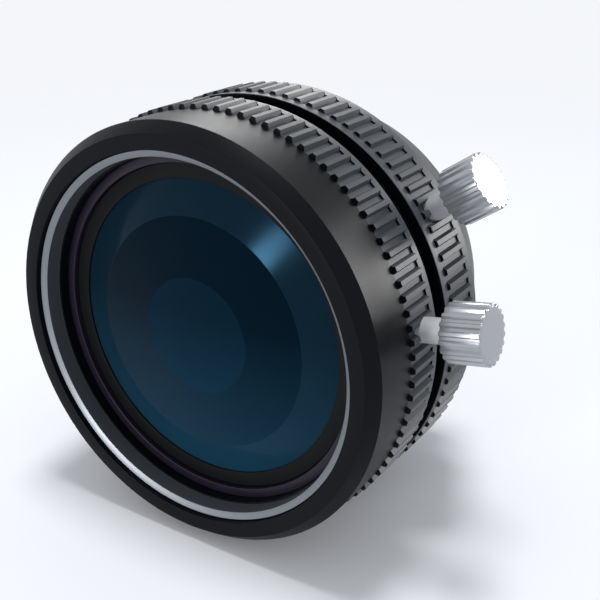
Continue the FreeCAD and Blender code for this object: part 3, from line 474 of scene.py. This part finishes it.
def make_finishes():
    """All finishes by name, made once from the colours in the panel. The comment over each says
    what it gives the eye."""
    colours, sizes = looks().finishes, looks().glass
    zones = [(0, colours.glass_inner), (sizes.inner_zone, colours.glass_middle),
             (sizes.middle_zone, colours.glass_outer)]
    FINISH.update({
        # Nearly black, with a broad soft sheen along the band where the lamps graze it
        "anodised": turned_metal("Satin black anodised aluminium", colours.anodised, 0.0, 0.38,
                                 specular=0.09),
        # Dark grey and duller, painted lighter than the black rings to stand in for the light on the
        # teeth, so that each tooth stands off its gap
        "grip": turned_metal("Black anodised aluminium, painted lighter as if lit", colours.grip, 0.0, 0.45,
                             specular=0.2),
        # A quiet grey step between the bright rim and the black pieces
        "wall": turned_metal("Dark grey anodised aluminium", colours.wall, 0.0, 0.45, specular=0.4),
        # A thin light grey line around the dark inside of the lens
        "rim": turned_metal("Turned aluminium rim", colours.rim, 1.0, 0.42, ring_mm=0.12),
        # Black with a purple cast in its soft light
        "violet": turned_metal("Black anodised aluminium, violet cast", to_linear("#1E1826"), 0.0, 0.36,
                               specular=0.25),
        # Flat black with almost no highlight
        "matt": turned_metal("Matt black anodised aluminium", colours.matt, 0.0, 0.62, specular=0.12),
        # Light satin metal, the one pale part of the camera side
        "bare": turned_metal("Turned aluminium, clear anodised", colours.bare, 1.0, 0.34, ring_mm=0.12),
        # White glints on the flutes that face a lamp, over a mid grey
        "nickel": turned_metal("Nickel plate on brass", colours.nickel, 0.65, 0.22, ring_depth=0,
                               grain_depth=0.001, mottle=0.03),
        # Pale and soft, without the glints of the head: a paler, less metallic copy of the nickel,
        # painted light so that the shank shows neither the head's shade nor the black ring it mirrors
        "shank": turned_metal("Nickel plate, painted paler on the shank", to_linear("#CCCED2"), 0.2, 0.32, ring_depth=0),
        # Plain grey metal of the pins and the clip
        "steel": turned_metal("Ground steel", to_linear("#9A9C9F"), 1.0, 0.30),
        # Dark dull spots in the housing's holes
        "black steel": turned_metal("Black oxide steel", to_linear("#1A1B1E"), 0.0, 0.42),
        # Sooty dark leaves behind the glass
        "blade": turned_metal("Blackened steel foil", to_linear("#1D1E20"), 0.0, 0.50, grain_mm=0.3),
        # Warm yellow metal of the keys and the cam ring
        "brass": turned_metal("Machined brass", to_linear("#C4A15A"), 1.0, 0.28),
        # Deep blue zones with one soft wedge of light, and a painted reflection of the ground that
        # lightens the lower rim
        "coated": coated_glass("Coated front glass", zones, to_linear("#70BCF0"), 0.055, 0.14, 0.0,
                               painted_ground_reflection=0.16),
        # Clear glass, light blue from its coating
        "clear": coated_glass("Coated clear glass", [(0, to_linear("#DCE8F0"))], to_linear("#9CC8F0"),
                              0.4, 0.03, 1.0),
    })


# Pieces

class LENS_OT_finishes(bpy.types.Operator):
    """Makes the finishes and gives every CAD node of the frame its own"""

    bl_idname = "lens.finishes"
    bl_label = "Finishes"

    NODES = {
        "anodised": "rear_housing main_barrel inner_barrel front_retaining_ring focus_retaining_ring "
                    "rear_cell rear_retaining_ring focus_ring iris_ring",
        "matt": "front_bezel front_spacer middle_spacer rear_spacer rear_element_retainer "
                "iris_base_plate",
        "bare": "mount_ring",
        "nickel": "focus_lock_screw iris_lock_screw",
        "steel": "iris_ring_clip focus_stop_pin iris_drive_pin iris_pivot_pins",
        "black steel": "mount_set_screws",
        "brass": "guide_keys iris_cam_ring",
        "blade": " ".join(f"iris_blade_{n}" for n in range(1, 7)),
        "coated": "front_element",
        "clear": "second_element third_element fourth_element fifth_element rear_element",
    }

    def execute(self, context):
        make_finishes()
        for finish, names in self.NODES.items():
            for name in names.split():
                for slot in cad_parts[name].material_slots:
                    slot.material = FINISH[finish]
        return {"FINISHED"}


def tooth_columns(count, azimuth, base, top):
    """Angles and heights of the columns of a toothed ring whose first tooth is at that azimuth.
    Each tooth is a trapezoid with sharp edges: base and top are its widths as shares of the
    pitch, which is a full turn over the count."""
    share = np.array([-base / 2, -top / 2, 0, top / 2, base / 2, 0.5])
    angles = (np.arange(count)[:, None] + share[None, :]) * TAU / count + math.radians(azimuth)
    return angles.ravel(), np.tile([0.0, 1.0, 1.0, 1.0, 0.0, 0.0], count)


def grip_rows(front_band, back_band, floor, top, front, back):
    """Rows of a toothed zone between two plain bands. At each end they are a row on the band,
    which keeps its shading even, the band's end, and the foot of a steep wall, where the gap's
    floor drops below the band and the tooth rises over it."""
    support, wall, rise = 0.03, 0.04, top - floor
    return [(front_band, front - support, 0), (front_band, front, 0), (floor, front + wall, 0, rise),
            (floor, back - wall, 0, rise), (back_band, back, 0), (back_band, back + support, 0)]


def toothed(name, corners, count, azimuth, screw, painted_light_from):
    """A toothed ring with the tapped hole of its thumb screw. Its outside is painted lighter behind
    the station painted_light_from, standing in for the light on the teeth, except on the faces
    that turn towards the front, which keep the black as painted shade in the pockets."""
    outside, front_end = 17.2, -0.6
    hole_radius, hole_start, hole_end = 1.05, 14.5, 19.5
    profile = rounded(corners)
    angles, height = tooth_columns(count, azimuth, base=0.63, top=0.32)
    relief = profile[:, 2:3] * height[None, :]
    hole = rod(*screw, hole_radius, hole_start, hole_end)
    ring = piece(name, revolve(profile, angles, relief), FINISH["anodised"], [hole])
    radius, station, facing = face_places(ring)
    # Painted light: the grip takes the lighter finish, and faces turned towards the front keep the
    # black as painted shade
    paint(ring, ("grip", (radius > outside) & (station > painted_light_from) & (facing > front_end)))
    return ring


class LENS_OT_rings(bpy.types.Operator):
    """Builds the focus ring and the iris ring with their toothed grips and tapped holes"""

    bl_idname = "lens.rings"
    bl_label = "Focus and iris rings"

    def execute(self, context):
        sizes = looks().rings
        edge = sizes.edge / MM

        band, top = sizes.focus_band / MM, sizes.focus_grip / MM
        back_band, floor = band + 0.1, band - 0.06
        front, chamfer_back, back = -23.71, -22.71, -14.15
        grip_front, grip_back, first_tooth = -18.30, -14.90, 1.43
        chamfer_radius, bore, back_bore = band - 0.84, 15.6, 16.2
        rib_bore, rib_front, rib_back = 15.25, -19.25, -18.75
        corners = [(bore, front), (chamfer_radius, front, edge), (band, chamfer_back)]
        corners += grip_rows(band, back_band, floor, top, grip_front, grip_back)
        corners += [(back_band, back, edge), (back_bore, back), (back_bore, rib_back),
                    (rib_bore, rib_back), (rib_bore, rib_front), (bore, rib_front)]
        ring = toothed("focus_ring_surface", corners, sizes.focus_teeth, first_tooth, FOCUS_SCREW,
                       painted_light_from=grip_front)
        put(ring, "focus_ring", "focus_ring")

        band, top = sizes.iris_band / MM, sizes.iris_grip / MM
        floor = band - 0.14
        front, back = -12.55, -7.0
        grip_front, grip_back, first_tooth = -11.70, -8.0, 0.38
        bore, front_bore, front_bore_end = 16.2, 17.05, -12.0
        corners = [(front_bore, front), (band, front, edge)]
        corners += grip_rows(band, band, floor, top, grip_front, grip_back)
        corners += [(band, back, edge), (bore, back), (bore, front_bore_end),
                    (front_bore, front_bore_end)]
        ring = toothed("iris_ring_surface", corners, sizes.iris_teeth, first_tooth, IRIS_SCREW,
                       painted_light_from=front - BREAK)
        put(ring, "iris_ring", "iris_ring")
        return {"FINISHED"}


class LENS_OT_thumb_screws(bpy.types.Operator):
    """Builds the two thumb screws: a dog point, a plain shank and a fluted head"""

    bl_idname = "lens.thumb_screws"
    bl_label = "Thumb screws"

    def execute(self, context):
        sizes = looks().screws
        point, shank, head = 0.6, sizes.shank / MM, sizes.head / MM
        # Inside this radius the two faces of the head stay round, and the flutes lie outside it
        land = 1.7
        flute_depth = 0.18
        tip, point_end, head_base, head_end = 16.20, 16.70, 20.15, 23.35
        profile = rounded([
            (0, tip, 0), (point, tip, 0.08), (point, point_end), (shank, point_end, 0.08),
            (shank, head_base, 0.06), (land, head_base, 0), (head, head_base, 0.09),
            (head, head_end, 0.09), (land, head_end, 0), (0, head_end, 0)])
        angles, height = tooth_columns(sizes.flutes, 0, base=0.68, top=0.32)
        fluted = profile[:, 0] > land + 0.1
        relief = fluted[:, None] * (height - 1)[None, :] * flute_depth
        spots, faces = revolve(profile, angles, relief, poles=True)
        for body, node, place in (("focus_screw", "focus_lock_screw", FOCUS_SCREW),
                                  ("iris_screw", "iris_lock_screw", IRIS_SCREW)):
            surface = (radial_frame(*place)(spots), faces)
            screw = piece(f"{node}_surface", surface, FINISH["nickel"], turned=False)
            radius = face_places(screw)[0]
            # The shank takes the paler copy of the nickel, painted light in place of its shade and of
            # the dark ring it mirrors
            paint(screw, ("shank", radius < head_base - 0.01))
            put(screw, body, node)
        return {"FINISHED"}


class LENS_OT_front(bpy.types.Operator):
    """Builds the inner barrel with its bright rim, the ring behind it and the bezel"""

    bl_idname = "lens.front"
    bl_label = "Inner barrel and front rings"

    def execute(self, context):
        head, head_front, head_back = 15.55, -23.30, -19.30
        slider, slider_back = 15.0, -5.0
        filter_bore, filter_front, filter_back = 14.98, -23.05, -21.65
        ring_bore, bezel_back = 14.82, -19.80
        glass_bore, glass_back = 13.03, -16.70
        waist, web, web_front, web_back = 10.53, 9.4, -12.90, -12.40
        iris_bore, cell_bore = 13.25, 13.75
        barrel = piece("inner_barrel_surface", revolve(rounded([
            (filter_bore, filter_front, 0.04), (head, head_front), (head, head_back),
            (slider, head_back), (slider, slider_back, 0.08), (cell_bore, slider_back),
            (cell_bore, CELL_FRONT), (iris_bore, CELL_FRONT), (iris_bore, web_back),
            (web, web_back), (web, web_front), (waist, web_front), (waist, glass_back),
            (glass_bore, glass_back), (glass_bore, bezel_back), (ring_bore, bezel_back),
            (ring_bore, filter_back, 0.04), (filter_bore, filter_back, 0.04)])), FINISH["anodised"])
        radius, station = face_places(barrel)[:2]
        # The small amounts leave the roundings at the edges on the right side of each border
        bored = radius < filter_bore + 0.005
        rim = ~bored & (radius < head - 0.02) & (station < filter_front + 0.02)
        wall = bored & (station < filter_back - 0.01)
        paint(barrel, ("rim", rim), ("wall", wall))
        put(barrel, "optics", "inner_barrel")

        seat, ring_front, ring_inner = 14.80, -20.80, 14.04
        ring = [(ring_inner, ring_front), (seat, ring_front), (seat, GLASS_SHOULDER),
                (ring_inner, GLASS_SHOULDER)]
        put(piece("front_retaining_ring_surface", revolve(rounded(ring)), FINISH["violet"]),
            "optics", "front_retaining_ring")

        bezel_front, bezel_inner, bezel_step, glass_seat = -20.38, 12.72, 13.98, 13.02
        bezel = [(bezel_inner, bezel_front), (bezel_step, bezel_front, 0.06),
                 (bezel_step, GLASS_SHOULDER, 0.03), (seat, GLASS_SHOULDER), (seat, bezel_back),
                 (glass_seat, bezel_back), (glass_seat, GLASS_SHOULDER, 0.03),
                 (bezel_inner, GLASS_SHOULDER)]
        put(piece("front_bezel_surface", revolve(rounded(bezel)), FINISH["matt"]),
            "optics", "front_bezel")
        return {"FINISHED"}


class LENS_OT_glass(bpy.types.Operator):
    """Builds the front and the rear glass, the pieces of glass that are seen from outside"""

    bl_idname = "lens.glass"
    bl_label = "Front and rear glass"

    def execute(self, context):
        sizes = looks().glass
        outer, middle, inner = sizes.outer_zone / MM, sizes.middle_zone / MM, sizes.inner_zone / MM
        apex, inner_edge, middle_edge, back = -21.58, -21.52, -21.10, -17.90
        rim, hollow_rim, hollow_depth = 13.0, 11.6, -1.2
        front = rounded([
            (0, apex, 0), (inner, inner_edge, 0.5), (middle, middle_edge, 0.3), (outer, GLASS_SHOULDER),
            (rim, GLASS_SHOULDER), (rim, back, 0.1), (hollow_rim, back, 0), (0, back, 0)])
        hollow = dome(hollow_rim, back, hollow_depth)
        surface = revolve(np.concatenate([front[:-1], hollow[1:]]), poles=True)
        put(piece("front_element_surface", surface, FINISH["coated"]), "optics", "front_element")

        front, back = REAR_GLASS
        rim, dome_rim, front_rise, back_rise = 9.01, 7.81, -0.4, 0.5
        edge = rounded([(0, front, 0), (dome_rim, front, 0), (rim, front, 0.08), (rim, back, 0.08),
                        (dome_rim, back, 0), (0, back, 0)])[1:-1]
        front_face = dome(dome_rim, front, front_rise)[::-1]
        back_face = dome(dome_rim, back, back_rise)
        surface = revolve(np.concatenate([front_face[:-1], edge, back_face[1:]]), poles=True)
        put(piece("rear_element_surface", surface, FINISH["clear"]), "optics", "rear_element")
        return {"FINISHED"}


def threaded(profile, crest, pitch, start):
    """Relief of the male thread over the mount's profile, cut in from its crest radius.

    The form is the unified one, whose flat crest, flat root and depth are shares of the pitch,
    with straight flanks between crest and root. A turn around the axis moves it along by one
    pitch. Behind its start it grows to its full depth over the run-in.
    """
    crest_flat, root_flat, full_depth, run_in = 1 / 8, 1 / 4, 0.613, 0.3
    # The outside of the mount from the thread's start, as far in as its lead goes
    lead_depth, before_start = 0.45, 0.01
    radius, station = profile[:, 0:1], profile[:, 1:2]
    angles = np.linspace(0, TAU, AROUND, endpoint=False)
    turn = (station / pitch - angles[None, :] / TAU) % 1
    flank = (np.abs(2 * turn - 1) - crest_flat) / (1 - crest_flat - root_flat)
    groove = np.clip(flank, 0, 1) * full_depth * pitch
    depth = groove * np.clip((station - start) / run_in, 0, 1)
    male = (radius > crest - lead_depth) & (station > start - before_start)
    return np.where(male, np.minimum(crest - depth, radius) - radius, 0)


class LENS_OT_camera_side(bpy.types.Operator):
    """Builds the rear housing, the threaded mount ring, the rear cell and its retainer"""

    bl_idname = "lens.camera_side"
    bl_label = "Housing, mount and rear cell"

    def execute(self, context):
        hub_front, flange_front = -3.40, -0.45
        front, cone_front, cone_back = -6.9, 17.70, 14.86
        spigot, spigot_back, step, hub_bore = 15.70, -4.40, 15.3, 13.62
        # Two rows on the cone, before and behind the set screws' holes, keep its shading even
        support = [(15.961, -2.95, 0), (15.036, -0.85, 0)]
        housing = [(spigot, front, 0.04), (cone_front, front, 0.06), *support,
                   (cone_back, flange_front, 0.06), (hub_bore, flange_front, 0.04),
                   (hub_bore, hub_front, 0.04), (step, hub_front, 0.04), (step, spigot_back, 0.04),
                   (spigot, spigot_back, 0.04)]
        screw_azimuths, screw_station = (90, 210, 330), -1.9
        hole_radius, hole_start, hole_end = 0.82, 12.5, 18.5
        holes = [rod(azimuth, screw_station, hole_radius, hole_start, hole_end)
                 for azimuth in screw_azimuths]
        put(piece("rear_housing_surface", revolve(rounded(housing)), FINISH["anodised"], holes),
            "housing", "rear_housing")

        bore, hub, lip, face, neck, crest, lead = 11.4, 13.6, 14.66, 12.9, 12.15, 12.7, 12.3
        # The flange face is the origin of the stations
        flange, face_depth, neck_back, lead_start, end = 0.0, -0.1, 0.35, 3.6, 4.0
        thread_start, thread_end, thread_rows = 0.45, 3.56, 62
        plain_mount = rounded([
            (bore, hub_front), (hub, hub_front), (hub, flange_front, 0.04), (lip, flange_front, 0.06),
            (lip, flange, 0.08), (face, flange, 0.03), (face, face_depth, 0.03),
            (neck, face_depth, 0.03), (neck, neck_back, 0.03), (crest, neck_back),
            (crest, lead_start, 0.1), (lead, end), (bore, end)])
        rows = np.zeros((thread_rows, 3))
        rows[:, 0], rows[:, 1] = crest, np.linspace(thread_start, thread_end, thread_rows)
        split = int(np.flatnonzero(plain_mount[:, 1] > lead_start - 0.2).min())
        profile = np.concatenate([plain_mount[:split], rows, plain_mount[split:]])
        relief = threaded(profile, crest, looks().glass.thread_pitch / MM, thread_start)
        put(piece("mount_ring_surface", revolve(profile, relief=relief), FINISH["bare"]),
            "housing", "mount_ring")

        flange_radius, flange_back, tube, tube_back = 13.73, -6.30, 10.9, 2.39
        stop_bore, stop_back, glass_bore = 7.91, -6.90, 9.03
        cell = [(stop_bore, CELL_FRONT), (flange_radius, CELL_FRONT), (flange_radius, flange_back),
                (tube, flange_back), (tube, tube_back, 0.12), (glass_bore, tube_back, 0.08),
                (glass_bore, stop_back), (stop_bore, stop_back)]
        put(piece("rear_cell_surface", revolve(rounded(cell)), FINISH["anodised"]),
            "optics", "rear_cell")

        keeper_rim, keeper_front, keeper_back = 9.01, REAR_GLASS[1], REAR_GLASS[1] + 1.0
        keeper = [(stop_bore, keeper_front), (keeper_rim, keeper_front), (keeper_rim, keeper_back),
                  (stop_bore, keeper_back, 0.12)]
        put(piece("rear_element_retainer_surface", revolve(rounded(keeper)), FINISH["matt"]),
            "optics", "rear_element_retainer")
        return {"FINISHED"}


# Studio

def shown_rays(tree):
    """1 for the rays that show the background: straight, mirrored or through glass."""
    path = add(tree, "ShaderNodeLightPath").outputs
    shown = add(tree, "ShaderNodeMath", {
        0: path["Is Camera Ray"], 1: path["Is Glossy Ray"]}, operation="MAXIMUM")
    shown = add(tree, "ShaderNodeMath", {
        0: shown.outputs[0], 1: path["Is Transmission Ray"]}, operation="MAXIMUM")
    return shown.outputs[0]


def lay_ground(backdrop):
    """The pale ground under the rings. Near the lens it takes light and shadow, and further out
    the rays that show the background see its even tone instead. near_tone is the share of that
    tone close to the lens, which lightens the shadows a little."""
    height, reach, near, far, near_tone = -18.15, 4000, 60, 200, 0.06
    sides = [(-reach, -reach), (reach, -reach), (reach, reach), (-reach, reach)]
    ground = solid("studio_ground", [(x, y, height) for x, y in sides], [(0, 1, 2, 3)])
    material, tree = new_material("Pale painted ground")
    place = add(tree, "ShaderNodeTexCoord").outputs["Object"]
    away = add(tree, "ShaderNodeVectorMath", {0: place}, operation="LENGTH").outputs["Value"]
    tone = add(tree, "ShaderNodeMapRange", {
        "Value": away, "From Min": near * MM, "From Max": far * MM, "To Min": near_tone})
    share = add(tree, "ShaderNodeMath", {
        0: tone.outputs[0], 1: shown_rays(tree)}, operation="MULTIPLY")
    lit = add(tree, "ShaderNodeBsdfDiffuse", {"Color": backdrop})
    even = add(tree, "ShaderNodeEmission", {"Color": backdrop, "Strength": 1.0})
    both = add(tree, "ShaderNodeMixShader", {
        0: share.outputs[0], 1: lit.outputs[0], 2: even.outputs[0]})
    add(tree, "ShaderNodeOutputMaterial", {0: both.outputs[0]})
    ground.data.materials.append(material)
    ground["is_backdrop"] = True


def hang_lamp(name, place, size, watts, fills, target):
    """A round soft lamp whose -Z points at the target. One that doesn't fill shows only in
    reflections: it draws a sheen, and neither lights matt surfaces nor casts a shadow there."""
    data = bpy.data.lights.new(name, "AREA")
    data.shape, data.size, data.energy = "DISK", size * MM, watts
    lamp = bpy.data.objects.new(name, data)
    bpy.context.scene.collection.objects.link(lamp)
    lamp.visible_diffuse = fills
    aim = (Vector(target) - Vector(place)).to_track_quat("-Z", "Y").to_matrix().to_4x4()
    lamp.matrix_world = Matrix.Translation(Vector(place) * MM) @ aim


def fill_world(backdrop):
    """The background: at full tone where it shows, and dimmer where it lights the lens."""
    lighting, showing = 0.62, 1.0
    world = bpy.data.worlds.new("Studio")
    world.use_nodes = True
    world.node_tree.nodes.clear()
    tree = world.node_tree
    light = add(tree, "ShaderNodeBackground", {"Color": backdrop, "Strength": lighting})
    pale = add(tree, "ShaderNodeBackground", {"Color": backdrop, "Strength": showing})
    both = add(tree, "ShaderNodeMixShader", {
        0: shown_rays(tree), 1: light.outputs[0], 2: pale.outputs[0]})
    add(tree, "ShaderNodeOutputWorld", {0: both.outputs[0]})
    bpy.context.scene.world = world


def stand_camera(place, azimuth, elevation, focal_length):
    """The camera. Its azimuth turns from -Y towards +X, and both angles are in degrees. The way
    back from what it sees has three parts: the sine of the azimuth times the cosine of the
    elevation, minus the product of both cosines, and the sine of the elevation."""
    turn, tilt = math.radians(azimuth), math.radians(elevation)
    back = Vector((math.sin(turn) * math.cos(tilt), -math.cos(turn) * math.cos(tilt), math.sin(tilt)))
    right = Vector((math.cos(turn), math.sin(turn), 0))
    axes = Matrix((right, back.cross(right), back)).transposed().to_4x4()
    data = bpy.data.cameras.new("Camera")
    data.sensor_width, data.lens = 36, focal_length
    data.clip_start, data.clip_end = 0.005, 20
    camera = bpy.data.objects.new("Camera", data)
    camera.matrix_world = Matrix.Translation(Vector(place) * MM) @ axes
    bpy.context.scene.collection.objects.link(camera)
    bpy.context.scene.camera = camera


class LENS_OT_stage(bpy.types.Operator):
    """Sets the pale ground, the soft lamps, the world and the camera"""

    bl_idname = "lens.stage"
    bl_label = "Studio"

    MIDDLE = (0, -10, 0)
    # Each lamp's name, place, diameter, power in watts, and whether it fills
    LAMPS = (
        ("overhead", (0, -10, 500), 140, 1.4, True),
        ("back left sheen", (-240, 445, 232), 270, 1.1, False),
        ("back right sheen", (302, 459, 130), 260, 3.0, False),
        ("front", (-80, -420, 30), 64, 0.65, True),
    )
    # Recovered from the circles of the front face, the rings and the glass
    CAMERA = {"place": (45.927, -76.848, 33.957), "azimuth": 32.98, "elevation": 23.31,
              "focal_length": 59.03}

    def execute(self, context):
        backdrop = tuple(looks().finishes.backdrop)
        lay_ground(backdrop)
        for lamp in self.LAMPS:
            hang_lamp(*lamp, self.MIDDLE)
        fill_world(backdrop)
        stand_camera(**self.CAMERA)
        context.scene.view_settings.view_transform = "Standard"
        return {"FINISHED"}


class LENS_PT_looks(bpy.types.Panel):
    """Lists the pieces and the sizes and colours behind them"""

    bl_idname = "LENS_PT_looks"
    bl_label = "C-mount lens"
    bl_space_type = "VIEW_3D"
    bl_region_type = "UI"
    bl_category = "Lens"

    def draw(self, context):
        for operator in OPERATORS:
            self.layout.operator(operator.bl_idname)
        for group in (looks().rings, looks().screws, looks().glass, looks().finishes):
            box = self.layout.box()
            for name in group.__annotations__:
                box.prop(group, name)


OPERATORS = (LENS_OT_finishes, LENS_OT_rings, LENS_OT_thumb_screws, LENS_OT_front, LENS_OT_glass,
             LENS_OT_camera_side, LENS_OT_stage)
CLASSES = (RingSizes, ScrewSizes, GlassSizes, Finishes, LensLooks, *OPERATORS, LENS_PT_looks)


def register():
    """Registers the classes and gives the scene its looks."""
    for item in CLASSES:
        bpy.utils.register_class(item)
    bpy.types.Scene.lens_looks = PointerProperty(type=LensLooks)


def unregister():
    """Takes the looks off the scene and the classes out again."""
    del bpy.types.Scene.lens_looks
    for item in reversed(CLASSES):
        bpy.utils.unregister_class(item)


def plain(bounds):
    """Bounds as plain lists of numbers."""
    return json.loads(json.dumps(bounds, default=list))


def main():
    """Builds the looks over the frame."""
    before = plain(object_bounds())
    register()
    for step in ("finishes", "rings", "thumb_screws", "front", "glass", "camera_side", "stage"):
        getattr(bpy.ops.lens, step)()
    {"frame": before, "dressed": plain(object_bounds())}


if __name__ == "__main__":
    main()
